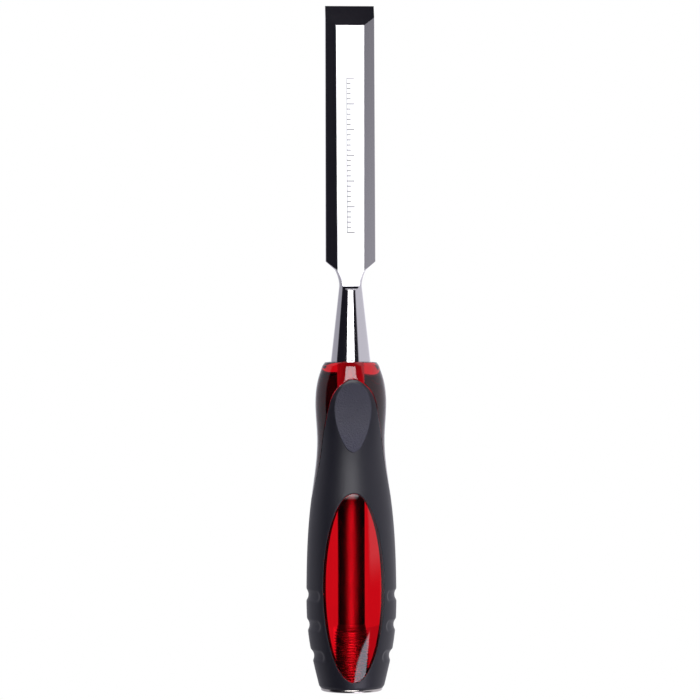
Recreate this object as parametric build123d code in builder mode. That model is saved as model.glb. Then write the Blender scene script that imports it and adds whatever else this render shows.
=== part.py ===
from build123d import *
import math
import os

# A bench chisel with a bevel-edged blade, a through tang, a clear core and a soft grip.
# Millimetres.  Z runs along the tool from the striking face (Z = 0) to the cutting edge,
# X is across the blade, and the bevelled front of the blade faces -Y.

# ---------------------------------------------------------------- driving dimensions
OVERALL = 266.7             # striking face to cutting edge

# blade
BLADE_WIDTH = 19.05         # at the cutting edge
HEEL_WIDTH = 19.3           # at the shoulders
FLAT_WIDTH_TIP = 10.9       # flat between the two side bevels
FLAT_WIDTH_HEEL = 10.3
BACK_Y = 1.8                # the flat back
GRINDING_STOCK = 0.5        # left on the back before it is ground flat
TIP_THICKNESS = 3.6
HEEL_THICKNESS = 4.5
SIDE_LAND_TIP = 2.15        # square side face under each bevel
SIDE_LAND_HEEL = 2.85
EDGE_ANGLE = 25.0           # ground angle of the cutting edge
SHOULDER_Z = 166.9          # full width starts here
SECTION_Z = 159.0           # the milled flats start here, above their run-outs

# neck and bolster, radii from the tool's axis
SHOULDER_RADIUS = HEEL_WIDTH / 2
FLARE_TOP_RADIUS = 6.1
FLARE_TOP_Z = 163.7
NECK_RADIUS = 4.4
NECK_Z = 157.4
BOLSTER_RADIUS = 7.75
BOLSTER_Z = 127.9           # sunk a little into the handle's top
RUN_OUT_RADIUS = 4.0        # cutter radius where the flats leave the neck

# tang, stud and cap
TANG_DIAMETER = 7.1
TANG_END_Z = 26.5
STUD_DIAMETER = 9.2
STUD_ROOT_DIAMETER = 7.9
STUD_PITCH = 1.1
STUD_LEAD_Z = 22.5          # the thread tapers from here up to the tang
STUD_FOOT_Z = 0.8
CAP_DIAMETER = 24.0
CAP_RIM = 1.15              # height of the rim that shows under the grip
CAP_EDGE_RADIUS = 0.55
CAP_BOSS_DIAMETER = 16.0
CAP_BOSS_TOP_Z = 3.2

# handle outline as (radius, Z), from the butt up to the rim of the domed top
BUTT = (12.1, CAP_RIM)
BUTT_EDGE = (12.75, 2.1)
LOWER_FLANK = (14.85, 10.9)
HEEL_OF_BELLY = (16.8, 21.9)
BELLY = (17.5, 42.0)
UPPER_BELLY = (17.0, 58.5)
FLANK = (15.6, 74.1)
WAIST = (13.17, 98.2)
BULGE = (13.83, 112.0)
SHOULDER = (12.65, 121.6)
RIM = (11.0, 126.5)
TOP_EDGE = (10.1, 127.75)
TOP_Z = 128.5
TOP_SAG = 0.2               # how far the domed top has fallen half way out

# soft grip
GRIP_WALL = 3.0
ARCH = [                    # half outline of the grip's upper edge, as (X, Z)
    (0.0, 121.2),
    (5.3, 118.5),
    (7.85, 115.1),
    (9.4, 110.0),
    (11.1, 100.6),
    (12.0, 92.8),
    (14.4, 79.9),
]
ARCH_FOOT = (18.9, 60.0)    # the arch runs straight on to here, past the flank
WINDOW_HALF_WIDTH = 12.0
WINDOW_HALF_HEIGHT = 36.5
WINDOW_Z = 40.7
SCOOP_Z = 107.0
SCOOP_DEPTH = 2.1
SCOOP_RADIUS = 60.6
GROOVE_HEIGHTS = [13.5, 25.6, 37.4]
GROOVE_RADIUS = 3.56        # ball cutter
GROOVE_DEPTH = 0.8
GROOVE_HALF_ANGLE = 35.0    # how far a groove runs each way from the side

REACH = 40.0                # longer than anything that a cutter has to pass through


def handle_profile():
    """Closed half outline of the whole handle in XZ."""
    side = [BUTT_EDGE, LOWER_FLANK, HEEL_OF_BELLY, BELLY, UPPER_BELLY, FLANK, WAIST, BULGE, SHOULDER, RIM]
    with BuildSketch(Plane.XZ) as profile:
        with BuildLine():
            Polyline((0, TOP_Z), (0, CAP_RIM), BUTT, BUTT_EDGE)
            Spline(*side)
            Line(RIM, TOP_EDGE)
            ThreePointArc(TOP_EDGE, (TOP_EDGE[0] / 2, TOP_Z - TOP_SAG), (0, TOP_Z))
        make_face()
    return profile.sketch


def under_grip_profile():
    """Closed half outline in XZ of the core where the grip covers it."""
    side = [BUTT, LOWER_FLANK, HEEL_OF_BELLY, BELLY, UPPER_BELLY, FLANK, WAIST, BULGE, SHOULDER]
    side = [(radius - GRIP_WALL, height) for radius, height in side]
    with BuildSketch(Plane.XZ) as profile:
        with BuildLine():
            Polyline(side[-1], (0, SHOULDER[1]), (0, CAP_RIM), side[0])
            Spline(*side)
        make_face()
    return profile.sketch


def grip_outline():
    """Front view of the area that the grip covers, without its window."""
    with BuildSketch(Plane.XZ) as outline:
        with BuildLine():
            Spline(*ARCH, tangents=[(1, 0), Vector(ARCH_FOOT) - Vector(ARCH[-1])])
            Polyline(ARCH[-1], ARCH_FOOT, (REACH, ARCH_FOOT[1]), (REACH, 0), (0, 0), ARCH[0])
        make_face()
        mirror(about=Plane.YZ)
    return outline.sketch


def window_outline():
    """Front view of the oval window."""
    with BuildSketch(Plane.XZ) as outline:
        with Locations((0, WINDOW_Z)):
            Ellipse(WINDOW_HALF_WIDTH, WINDOW_HALF_HEIGHT)
    return outline.sketch


def handle_radius(height):
    """Radius of the handle at a height, between the two nearest outline points."""
    outline = [BUTT, BUTT_EDGE, LOWER_FLANK, HEEL_OF_BELLY, BELLY]
    for (r0, z0), (r1, z1) in zip(outline, outline[1:]):
        if z0 <= height <= z1:
            return r0 + (r1 - r0) * (height - z0) / (z1 - z0)
    return BELLY[0]


def blade_section(height, width, flat, thickness, land):
    """Bevel-edged section of the blade at one height."""
    with BuildSketch(Plane.XY.offset(height)) as section:
        with BuildLine():
            Polyline(
                (-width / 2, BACK_Y + GRINDING_STOCK),
                (width / 2, BACK_Y + GRINDING_STOCK),
                (width / 2, BACK_Y - land),
                (flat / 2, BACK_Y - thickness),
                (-flat / 2, BACK_Y - thickness),
                (-width / 2, BACK_Y - land),
                close=True,
            )
        make_face()
    return section.sketch


def stretched(tip_value, heel_value, height):
    """A blade dimension carried on along the blade's straight taper."""
    return heel_value + (tip_value - heel_value) * (height - SHOULDER_Z) / (OVERALL - SHOULDER_Z)


def milled_flat(side, flat_y, top_z):
    """Stock that a flat's cutter removes, from top_z down to its rounded run-out in the neck."""
    run_out_y = flat_y + side * RUN_OUT_RADIUS
    start_angle = 180 if side > 0 else 0
    with BuildSketch(Plane.YZ) as stock:
        with BuildLine():
            run_out = CenterArc((run_out_y, SECTION_Z), RUN_OUT_RADIUS, start_angle, side * 90)
            Polyline(run_out @ 1, (run_out_y, top_z), (flat_y, top_z), run_out @ 0)
        make_face()
    return stock.sketch


# ---------------------------------------------------------------- blade, neck, bolster and tang
foot_thickness = stretched(TIP_THICKNESS, HEEL_THICKNESS, SECTION_Z)
flare_slope = (SHOULDER_Z - FLARE_TOP_Z) / (SHOULDER_RADIUS - FLARE_TOP_RADIUS)
# the flare is tangent to the neck, so half way up it has swung out by a quarter
flare_middle = (
    NECK_RADIUS + 0.25 * (FLARE_TOP_RADIUS - NECK_RADIUS),
    (NECK_Z + FLARE_TOP_Z) / 2,
)
# clear of the blade's corners above the shoulders
envelope_radius = SHOULDER_RADIUS + 1.0
envelope_foot = (envelope_radius, SHOULDER_Z + flare_slope * (envelope_radius - SHOULDER_RADIUS))

with BuildPart() as blade:
    tip = blade_section(OVERALL, BLADE_WIDTH, FLAT_WIDTH_TIP, TIP_THICKNESS, SIDE_LAND_TIP)
    foot = blade_section(
        SECTION_Z,
        stretched(BLADE_WIDTH, HEEL_WIDTH, SECTION_Z),
        stretched(FLAT_WIDTH_TIP, FLAT_WIDTH_HEEL, SECTION_Z),
        foot_thickness,
        stretched(SIDE_LAND_TIP, SIDE_LAND_HEEL, SECTION_Z),
    )
    loft([foot, tip])
    # turned shoulders: the flare of the neck trims the heel of the blade
    with BuildSketch(Plane.XZ):
        with BuildLine():
            flare = ThreePointArc((NECK_RADIUS, NECK_Z), flare_middle, (FLARE_TOP_RADIUS, FLARE_TOP_Z))
            Polyline(flare @ 1, envelope_foot, (envelope_radius, OVERALL), (0, OVERALL), (0, NECK_Z), flare @ 0)
        make_face()
    revolve(axis=Axis.Z, mode=Mode.INTERSECT)
    # neck, bolster cone and tang
    with BuildSketch(Plane.XZ):
        with BuildLine():
            Polyline(
                (0, TANG_END_Z),
                (TANG_DIAMETER / 2, TANG_END_Z),
                (TANG_DIAMETER / 2, BOLSTER_Z),
                (BOLSTER_RADIUS, BOLSTER_Z),
                (NECK_RADIUS, NECK_Z),
            )
            flare = ThreePointArc((NECK_RADIUS, NECK_Z), flare_middle, (FLARE_TOP_RADIUS, FLARE_TOP_Z))
            Polyline(flare @ 1, (0, FLARE_TOP_Z), (0, TANG_END_Z))
        make_face()
        with Locations((0, SECTION_Z + REACH / 2)):
            Rectangle(REACH, REACH, mode=Mode.SUBTRACT)
    revolve(axis=Axis.Z)
    # both flats run out into the round neck; the back is ground in one pass up to the edge
    for side, flat_y, top_z in ((-1, BACK_Y - foot_thickness, SECTION_Z + 1), (1, BACK_Y, OVERALL + 1)):
        extrude(milled_flat(side, flat_y, top_z), amount=REACH, both=True, mode=Mode.SUBTRACT)
    # cutting edge, ground on the front only
    bevel_length = TIP_THICKNESS / math.tan(math.radians(EDGE_ANGLE))
    with BuildSketch(Plane.YZ):
        with BuildLine():
            Polyline(
                (BACK_Y, OVERALL),
                (BACK_Y - 2 * TIP_THICKNESS, OVERALL - 2 * bevel_length),
                (BACK_Y - 2 * TIP_THICKNESS, OVERALL),
                close=True,
            )
        make_face()
    extrude(amount=REACH, both=True, mode=Mode.SUBTRACT)
blade.part.label = "blade"

# ---------------------------------------------------------------- cap and stud
with BuildPart() as cap_stud:
    turns = round((STUD_LEAD_Z - STUD_FOOT_Z) / STUD_PITCH)
    pitch = (STUD_LEAD_Z - STUD_FOOT_Z) / turns
    thread = [(STUD_ROOT_DIAMETER / 2, STUD_FOOT_Z)]
    for turn in range(turns):
        thread.append((STUD_DIAMETER / 2, STUD_FOOT_Z + (turn + 0.5) * pitch))
        thread.append((STUD_ROOT_DIAMETER / 2, STUD_FOOT_Z + (turn + 1) * pitch))
    with BuildSketch(Plane.XZ):
        with BuildLine():
            Polyline((0, STUD_FOOT_Z), *thread, (TANG_DIAMETER / 2, TANG_END_Z), (0, TANG_END_Z), close=True)
        make_face()
    revolve(axis=Axis.Z)
cap_stud.part.label = "cap_stud"

with BuildPart() as striking_cap:
    with BuildSketch():
        Circle(CAP_DIAMETER / 2)
    extrude(amount=CAP_RIM)
    fillet(striking_cap.edges().group_by(Axis.Z)[0], CAP_EDGE_RADIUS)
    with BuildSketch(Plane.XY.offset(CAP_RIM)):
        Circle(CAP_BOSS_DIAMETER / 2)
    extrude(amount=CAP_BOSS_TOP_Z - CAP_RIM)
    add(cap_stud.part, mode=Mode.SUBTRACT)
striking_cap.part.label = "striking_cap"

# ---------------------------------------------------------------- soft grip
with BuildPart() as soft_grip:
    revolve(handle_profile(), axis=Axis.Z)
    revolve(under_grip_profile(), axis=Axis.Z, mode=Mode.SUBTRACT)
    # the arch of the upper edge and the oval window pass through front and back alike
    extrude(grip_outline(), amount=REACH, both=True, mode=Mode.INTERSECT)
    extrude(window_outline(), amount=REACH, both=True, mode=Mode.SUBTRACT)
    # thumb scoops, front and back
    for side in (-1, 1):
        scoop_y = side * (BULGE[0] - SCOOP_DEPTH + SCOOP_RADIUS)
        with BuildSketch(Plane.YZ):
            with Locations((scoop_y, SCOOP_Z)):
                Circle(SCOOP_RADIUS)
        extrude(amount=REACH, both=True, mode=Mode.SUBTRACT)
    # finger grooves, three on each side
    for height in GROOVE_HEIGHTS:
        cutter_radius = handle_radius(height) - GROOVE_DEPTH + GROOVE_RADIUS
        for middle in (0, 180):
            start = middle - GROOVE_HALF_ANGLE
            ends = [math.radians(middle + turn) for turn in (-GROOVE_HALF_ANGLE, GROOVE_HALF_ANGLE)]
            with BuildSketch(Plane.XZ.rotated((0, 0, start))):
                with Locations((cutter_radius, height)):
                    Circle(GROOVE_RADIUS)
            revolve(axis=Axis.Z, revolution_arc=2 * GROOVE_HALF_ANGLE, mode=Mode.SUBTRACT)
            with Locations(*[(cutter_radius * math.cos(a), cutter_radius * math.sin(a), height) for a in ends]):
                Sphere(GROOVE_RADIUS, mode=Mode.SUBTRACT)
soft_grip.part.label = "soft_grip"

# ---------------------------------------------------------------- clear core
with BuildPart() as handle_core:
    # raised where the grip leaves it bare: the top, the flanks and the two windows
    revolve(handle_profile(), axis=Axis.Z)
    revolve(under_grip_profile(), axis=Axis.Z, mode=Mode.SUBTRACT)
    with BuildSketch(Plane.XZ):
        Rectangle(2 * REACH, 2 * OVERALL)
        add(grip_outline(), mode=Mode.SUBTRACT)
        add(window_outline())
    extrude(amount=REACH, both=True, mode=Mode.INTERSECT)
    revolve(under_grip_profile(), axis=Axis.Z)
    # moulded around the steel
    add(blade.part, mode=Mode.SUBTRACT)
    add(cap_stud.part, mode=Mode.SUBTRACT)
    add(striking_cap.part, mode=Mode.SUBTRACT)
handle_core.part.label = "handle_core"

os.makedirs("parts", exist_ok=True)
for piece in (blade, handle_core, soft_grip, striking_cap, cap_stud):
    export_step(piece.part, f"parts/{piece.part.label}.step")
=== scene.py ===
import math

import bmesh
import bpy
import numpy as np
from mathutils import Matrix, Vector


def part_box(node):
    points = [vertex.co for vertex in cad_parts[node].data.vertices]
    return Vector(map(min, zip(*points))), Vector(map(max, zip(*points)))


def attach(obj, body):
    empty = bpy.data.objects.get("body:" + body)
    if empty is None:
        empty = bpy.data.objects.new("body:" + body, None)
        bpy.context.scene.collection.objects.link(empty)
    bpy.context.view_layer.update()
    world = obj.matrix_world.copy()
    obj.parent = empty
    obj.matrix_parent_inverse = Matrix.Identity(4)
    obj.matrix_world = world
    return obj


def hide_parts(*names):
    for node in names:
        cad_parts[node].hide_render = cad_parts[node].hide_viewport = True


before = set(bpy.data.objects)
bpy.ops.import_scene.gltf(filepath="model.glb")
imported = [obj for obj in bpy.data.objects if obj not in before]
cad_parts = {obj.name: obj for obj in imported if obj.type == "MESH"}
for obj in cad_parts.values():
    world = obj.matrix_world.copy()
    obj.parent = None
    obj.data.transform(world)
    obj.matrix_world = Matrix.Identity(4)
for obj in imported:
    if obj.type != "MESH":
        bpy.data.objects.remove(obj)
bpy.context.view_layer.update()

bl_info = {
    "name": "Bench chisel",
    "version": (1, 0, 0),
    "blender": (4, 5, 0),
    "location": "View3D > Sidebar > Chisel",
    "description": "Builds a bench chisel with a clear core and a soft grip on its CAD part",
    "category": "Object",
}

# Z runs along the tool from the striking face (Z = 0) to the cutting edge, X is across the
# blade, and the bevelled front of the blade faces -Y.  The tables below are in millimetres.
MM = 0.001
BODY = "root"

# handle outline as (radius, height), from the butt up to the rim of the domed top
BUTT = (12.1, 1.15)
BUTT_EDGE = (12.75, 2.1)
HANDLE_SIDE = [
    BUTT_EDGE,
    (14.85, 10.9),
    (16.8, 21.9),
    (17.5, 42.0),
    (17.0, 58.5),
    (15.6, 74.1),
    (13.17, 98.2),
    (13.83, 112.0),
    (12.65, 121.6),
    (11.0, 126.5),
]
TOP_EDGE = (10.1, 127.75)
TOP = (0.0, 128.5)
TOP_SAG = 0.2

# half outline of the grip's upper edge, as (x, height); it runs straight on to the foot
ARCH = [
    (0.0, 121.2),
    (5.3, 118.5),
    (7.85, 115.1),
    (9.4, 110.0),
    (11.1, 100.6),
    (12.0, 92.8),
    (14.4, 79.9),
]
ARCH_FOOT = (18.9, 60.0)
WINDOW_HEIGHT = 40.7            # middle of the oval window
GROOVE_HEIGHTS = (13.5, 25.6, 37.4)
SCOOP_HEIGHT = 107.0
SCOOP_FLOOR = 11.73             # distance from the axis to the deepest line of a scoop
SCOOP_CURVE = 60.6

# blade: the second height of each pair of sizes is the heel, where the full width starts
EDGE_HEIGHT = 266.7
HEEL_HEIGHT = 166.9
BACK = 1.8
BLADE_WIDTHS = (19.05, 19.3)
FLAT_WIDTHS = (10.9, 10.3)
THICKNESSES = (3.6, 4.5)
SIDE_LANDS = (2.15, 2.85)
GRIND_ANGLE = math.radians(25.0)
FLARE_TOP = (6.1, 163.7)
NECK = (4.4, 157.4)
BOLSTER = (7.75, 127.9)
FLATS_START = 159.0
RUN_OUT_RADIUS = 4.0
TANG_RADIUS = 3.55
TANG_FOOT = 26.5


def length(name, description, default, low, high):
    """A length that a user may change; the numbers are millimetres."""
    return bpy.props.FloatProperty(
        name=name,
        description=description,
        default=default * MM,
        min=low * MM,
        max=high * MM,
        unit="LENGTH",
    )


def colour(name, description, *default):
    """A colour that a user may change."""
    return bpy.props.FloatVectorProperty(
        name=name, description=description, default=default, min=0.0, max=1.0, subtype="COLOR"
    )


class HandleSizes(bpy.types.PropertyGroup):
    """Sizes of the clear core and the soft grip."""

    window_half_width: length(
        "Window half width", "Half the width of the oval windows in the grip", 12.0, 4, 14
    )
    window_half_height: length(
        "Window half height", "Half the height of the oval windows in the grip", 36.5, 10, 38
    )
    grip_wall: length("Grip wall", "Thickness of the moulded grip over the core", 3.0, 1, 5)
    edge_radius: length(
        "Edge radius", "Rounding of the core and of the grip where they meet", 0.32, 0.05, 0.8
    )
    groove_radius: length(
        "Finger groove radius", "Radius of the round cutter that leaves a finger groove", 3.56, 1, 6
    )
    groove_depth: length("Finger groove depth", "Depth of a groove at its middle", 0.8, 0.1, 2)
    groove_half_angle: bpy.props.FloatProperty(
        name="Finger groove half angle",
        description="How far a finger groove runs each way from the side of the handle",
        default=math.radians(35.0),
        min=math.radians(5.0),
        max=math.radians(60.0),
        subtype="ANGLE",
    )


class SteelSizes(bpy.types.PropertyGroup):
    """Sizes of the blade's edges, the stud's thread and the cap."""

    edge_break: length(
        "Edge break", "Width of the small flat left where two ground faces meet", 0.06, 0.02, 0.5
    )
    thread_turns: bpy.props.IntProperty(
        name="Thread turns", description="Turns of thread on the stud", default=20, min=4, max=60
    )
    thread_crest: length("Thread crest radius", "Radius of the stud over its thread", 4.6, 2, 8)
    thread_root: length("Thread root radius", "Radius of the stud under its thread", 3.95, 2, 8)
    thread_lead: length(
        "Thread lead height", "Height above which the stud tapers up to the tang", 22.5, 5, 26
    )
    cap_radius: length("Cap radius", "Radius of the striking cap", 12.0, 6, 12)
    cap_rim: length("Cap rim", "Height of the cap's rim under the grip", 1.15, 0.5, 3)
    cap_round: length("Cap edge radius", "Rounding of the striking face's edge", 0.55, 0.1, 1)


class Colours(bpy.types.PropertyGroup):
    """Colours of the five pieces."""

    steel: colour("Blade steel", "Colour of the polished blade", 0.62, 0.615, 0.62)
    cap_steel: colour("Cap steel", "Colour of the striking cap", 0.58, 0.55, 0.51)
    stud_steel: colour("Stud steel", "Colour of the threaded stud", 0.95, 0.93, 0.92)
    clear_red: colour("Clear red", "Colour of the clear core", 0.62, 0.003, 0.008)
    grip_black: colour("Grip black", "Colour of the soft grip", 0.011, 0.011, 0.018)


# ---------------------------------------------------------------- mesh helpers
MERGE = 0.0002                  # points nearer than this are one point


def smooth_line(points, steps, first=None, last=None):
    """Dense points along a cubic through the given ones; first and last are its end directions."""
    points = np.array(points, float)
    chords = np.linalg.norm(np.diff(points, axis=0), axis=1)
    count = len(points)
    system = np.zeros((count, count))
    right = np.zeros((count, 2))
    for i in range(1, count - 1):
        before, after = chords[i - 1], chords[i]
        system[i, i - 1 : i + 2] = after, 2 * (before + after), before
        left_slope = (points[i] - points[i - 1]) / before
        right_slope = (points[i + 1] - points[i]) / after
        right[i] = 3 * (after * left_slope + before * right_slope)
    for row, near, given in ((0, 1, first), (count - 1, count - 2, last)):
        if given is None:
            system[row, [row, near]] = 2.0, 1.0
            low = min(row, near)
            right[row] = 3 * (points[low + 1] - points[low]) / chords[low]
        else:
            system[row, row] = 1.0
            right[row] = np.array(given, float) / np.linalg.norm(given)
    slopes = np.linalg.solve(system, right)
    line = []
    for i, length in enumerate(chords):
        t = np.linspace(0, 1, steps, endpoint=False)[:, None]
        line.append(
            points[i] * (1 + 2 * t) * (1 - t) ** 2
            + slopes[i] * length * t * (1 - t) ** 2
            + points[i + 1] * t**2 * (3 - 2 * t)
            - slopes[i + 1] * length * t**2 * (1 - t)
        )
    return np.concatenate(line + [points[-1:]])


def rounded_line(points, cut):
    """The polyline with each inner corner replaced by three points of a small curve."""
    points = [np.array(p, float) for p in points]
    line = [points[0]]
    for before, corner, after in zip(points, points[1:], points[2:]):
        back = (before - corner) / np.linalg.norm(before - corner)
        on = (after - corner) / np.linalg.norm(after - corner)
        line += [corner + back * cut, corner + (back + on) * cut * 0.25, corner + on * cut]
    return np.array(line + [points[-1]])


def shade(built, sharp_angle):
    """Turns faces outwards and shades them smooth, but for edges past the angle if one is given."""
    bmesh.ops.recalc_face_normals(built, faces=built.faces)
    for face in built.faces:
        face.smooth = True
    if sharp_angle is not None:
        for edge in built.edges:
            edge.smooth = edge.is_boundary or edge.calc_face_angle(0.0) < sharp_angle


class Shell:
    """Collects points in millimetres and faces, and turns them into a closed mesh in metres."""

    def __init__(self):
        self.points = []
        self.faces = []

    def grid(self, rows, turned=False, closed=False):
        """Adds a grid of quads over rows of points, and returns the rows' point numbers."""
        numbers = []
        for row in rows:
            start = len(self.points)
            self.points.extend(row)
            numbers.append(list(range(start, start + len(row))))
        for low, high in zip(numbers, numbers[1:]):
            self.strip(low, high, turned, closed)
        return numbers

    def strip(self, low, high, turned=False, closed=False):
        """Adds the quads between two rows of point numbers."""
        pairs = list(zip(range(len(low)), range(1, len(low))))
        if closed:
            pairs.append((len(low) - 1, 0))
        for i, j in pairs:
            face = (low[i], low[j], high[j], high[i])
            self.faces.append(face[::-1] if turned else face)

    def mirrored(self, axis):
        """Adds the whole shell again, mirrored across the plane through the origin."""
        count = len(self.points)
        flip = np.ones(3)
        flip[axis] = -1.0
        self.points.extend([p * flip for p in self.points[:count]])
        self.faces.extend([tuple(n + count for n in face[::-1]) for face in self.faces[:]])

    def mesh(self, name, sharp_angle=None):
        """The merged mesh: flat faces of no area are gone, and every face points outwards."""
        built = bmesh.new()
        for point in self.points:
            built.verts.new(Vector(point) * MM)
        built.verts.ensure_lookup_table()
        for face in self.faces:
            built.faces.new([built.verts[n] for n in face])
        bmesh.ops.remove_doubles(built, verts=built.verts, dist=MERGE * MM)
        bmesh.ops.dissolve_degenerate(built, edges=built.edges, dist=MERGE * MM)
        shade(built, sharp_angle)
        mesh = bpy.data.meshes.new(name)
        built.to_mesh(mesh)
        built.free()
        return mesh


def add_piece(name, mesh, node, material):
    """Puts a finished mesh in the scene as the piece that stands for a CAD node."""
    piece = bpy.data.objects.new(name, mesh)
    bpy.context.scene.collection.objects.link(piece)
    mesh.materials.clear()
    mesh.materials.append(material)
    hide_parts(node)
    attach(piece, BODY)
    return piece


def around(radii, angles, height):
    """Points at angles about Z, from the front towards the right."""
    x = radii * np.sin(angles)
    y = -radii * np.cos(angles)
    return [np.array((a, b, height)) for a, b in zip(x, y)]


def lathe(profile, segments):
    """A shell turned around Z from (radius, height) pairs."""
    turns = np.linspace(0, 2 * math.pi, segments, endpoint=False)
    shell = Shell()
    shell.grid([around(radius, turns, height) for radius, height in profile], closed=True)
    return shell


def keep_in_box(mesh, node):
    """Holds a piece's points inside the box of the CAD node that it stands for."""
    low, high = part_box(node)
    for vertex in mesh.vertices:
        for axis in range(3):
            vertex.co[axis] = min(max(vertex.co[axis], low[axis]), high[axis])


# ---------------------------------------------------------------- shape of the handle
SIDE_LINE = smooth_line(HANDLE_SIDE, 24)
ARCH_LINE = np.concatenate(
    (
        smooth_line(ARCH, 30, (1, 0), np.array(ARCH_FOOT) - np.array(ARCH[-1])),
        np.linspace(ARCH[-1], ARCH_FOOT, 20)[1:],
    )
)
RIM = HANDLE_SIDE[-1]
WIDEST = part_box("soft_grip")[1].x / MM
HIDDEN_OVERLAP = 0.2            # the core runs this far into the grip, where nothing shows
WALL_OVERLAP = 0.04             # and this far past the grip's visible edges
# distances from a visible edge at which the handle's grids have a line
EDGE_STEPS = np.array([0, 0.035, 0.08, 0.135, 0.2, 0.27, 0.36, 0.5, 0.75])
SCOOP_CREASE = 0.12             # width over which a scoop's crease is rounded
GROOVE_CREASE = 0.22
GRIP_COLUMNS = 28
INNER_COLUMNS = 9


def handle_radius(height):
    """Radius of the handle at a height below its rim."""
    straight = np.interp(height, (BUTT[1], BUTT_EDGE[1]), (BUTT[0], BUTT_EDGE[0]))
    curved = np.interp(height, SIDE_LINE[:, 1], SIDE_LINE[:, 0])
    return np.minimum(np.where(height < BUTT_EDGE[1], straight, curved), WIDEST)


def soft_min(a, b, blend):
    """The smaller of two lengths, with the crease between them rounded."""
    mix = np.clip(0.5 + 0.5 * (b - a) / blend, 0, 1)
    return b + (a - b) * mix - blend * mix * (1 - mix)


class HandleShape:
    """Outline of the windows and of the grip's upper edge, and the depth of what is cut in it."""

    def __init__(self, sizes, grow):
        self.half_width = sizes.window_half_width / MM + grow
        self.half_height = sizes.window_half_height / MM + grow
        self.arch = ARCH_LINE - np.array((grow, grow))
        self.arch[0, 0] = 0.0
        self.apex = round(float(self.arch[0, 1]), 6)
        self.round = sizes.edge_radius / MM
        self.wall = sizes.grip_wall / MM
        self.groove_radius = sizes.groove_radius / MM
        self.groove_depth = sizes.groove_depth / MM
        self.groove_half_angle = sizes.groove_half_angle
        self.foot = round(WINDOW_HEIGHT - self.half_height, 6)
        self.head = round(WINDOW_HEIGHT + self.half_height, 6)
        heights = np.linspace(60, 90, 3001)
        gap = self.arch_x(heights) - handle_radius(heights)
        self.tip = round(float(heights[np.argmax(gap < 0)]), 6)
        angles = np.linspace(0, math.pi, 500)
        window = np.stack(
            (
                self.half_width * np.sin(angles),
                WINDOW_HEIGHT - self.half_height * np.cos(angles),
            ),
            axis=1,
        )
        upper = self.arch[self.arch[:, 1] > self.tip]
        self.edges = [self.on_surface(window), self.on_surface(upper)]

    def on_surface(self, line):
        """Points on the front of the handle behind a line given as (x, height)."""
        radius = handle_radius(line[:, 1])
        x = np.minimum(line[:, 0], radius)
        return np.stack((x, -np.sqrt(radius**2 - x**2), line[:, 1]), axis=1)

    def arch_x(self, height):
        """Half width of the grip's upper edge at a height."""
        return np.interp(height, self.arch[::-1, 1], self.arch[::-1, 0])

    def window_x(self, height):
        """Half width of the window at a height."""
        share = np.clip((height - WINDOW_HEIGHT) / self.half_height, -1, 1)
        return self.half_width * np.sqrt(1 - share**2)

    def from_edge(self, points):
        """Distance of each point from the nearest edge between grip and core."""
        nearest = np.full(len(points), 1e9)
        for line in self.edges:
            start, run = line[:-1], np.diff(line, axis=0)
            lengths = np.maximum((run**2).sum(1), 1e-12)
            to_points = points[:, None, :] - start[None]
            share = np.clip((to_points * run[None]).sum(2) / lengths, 0, 1)
            gaps = np.linalg.norm(to_points - share[..., None] * run[None], axis=2)
            nearest = np.minimum(nearest, gaps.min(1))
        return nearest

    def rounding(self, angles, height):
        """How far the edge rounding lowers the surface at these angles."""
        radius = handle_radius(height)
        sines, cosines = np.sin(angles), np.cos(angles)
        points = np.stack((radius * sines, -radius * cosines, np.full(len(angles), height)), axis=1)
        inside = np.clip(self.round - self.from_edge(points), 0, self.round)
        return self.round - np.sqrt(self.round**2 - inside**2)

    def cut_radius(self, angles, height):
        """Radius of the grip with its thumb scoops and finger grooves."""
        radius = np.full(len(angles), float(handle_radius(height)))
        reach = SCOOP_CURVE**2 - (height - SCOOP_HEIGHT) ** 2
        scoop = SCOOP_FLOOR + SCOOP_CURVE - math.sqrt(max(reach, 0.0))
        radius = soft_min(radius, scoop / np.maximum(np.cos(angles), 0.05), SCOOP_CREASE)
        past_end = np.maximum(math.pi / 2 - angles - self.groove_half_angle, 0)
        for middle in GROOVE_HEIGHTS:
            centre = float(handle_radius(middle)) - self.groove_depth + self.groove_radius
            room = self.groove_radius**2 - (height - middle) ** 2 - (centre * np.sin(past_end)) ** 2
            groove = centre * np.cos(past_end) - np.sqrt(np.maximum(room, 0))
            groove = np.where(room > 0, groove, centre)
            radius = soft_min(radius, groove, GROOVE_CREASE)
        return radius

    def rows(self, step):
        """Heights from the butt to the arch's top, close together where an edge turns."""
        heights = [BUTT[1], BUTT[1] + 0.12, BUTT[1] + 0.3, BUTT_EDGE[1] - 0.25, BUTT_EDGE[1]]
        heights += list(np.arange(BUTT_EDGE[1] + 0.2, self.apex - 0.1, step))
        quarter = np.linspace(0, 0.36, 15)[1:]
        for end, inward in ((self.foot, 1), (self.head, -1)):
            heights += [end + inward * self.half_height * (1 - math.cos(t)) for t in quarter]
            heights += [end - inward * offset for offset in EDGE_STEPS[1:]]
        heights += [self.apex - drop for drop in (0.01, 0.03, 0.07, 0.12, 0.2, 0.3, 0.45, 0.65)]
        exact = [self.foot, self.head, self.tip, self.apex]
        kept = [h for h in heights if min(abs(h - e) for e in exact) > 0.006]
        return [float(height) for height in np.unique(np.round(kept + exact, 6))]

    def ends(self, height):
        """Angles of the window's edge and of the upper edge at a height."""
        radius = float(handle_radius(height))
        window = 0.0
        if self.foot + 1e-4 < height < self.head - 1e-4:
            window = math.asin(min(self.window_x(height) / radius, 1))
        arch = math.pi / 2
        if height > self.tip:
            arch = math.asin(min(self.arch_x(height) / radius, 1))
        return window, arch


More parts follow.
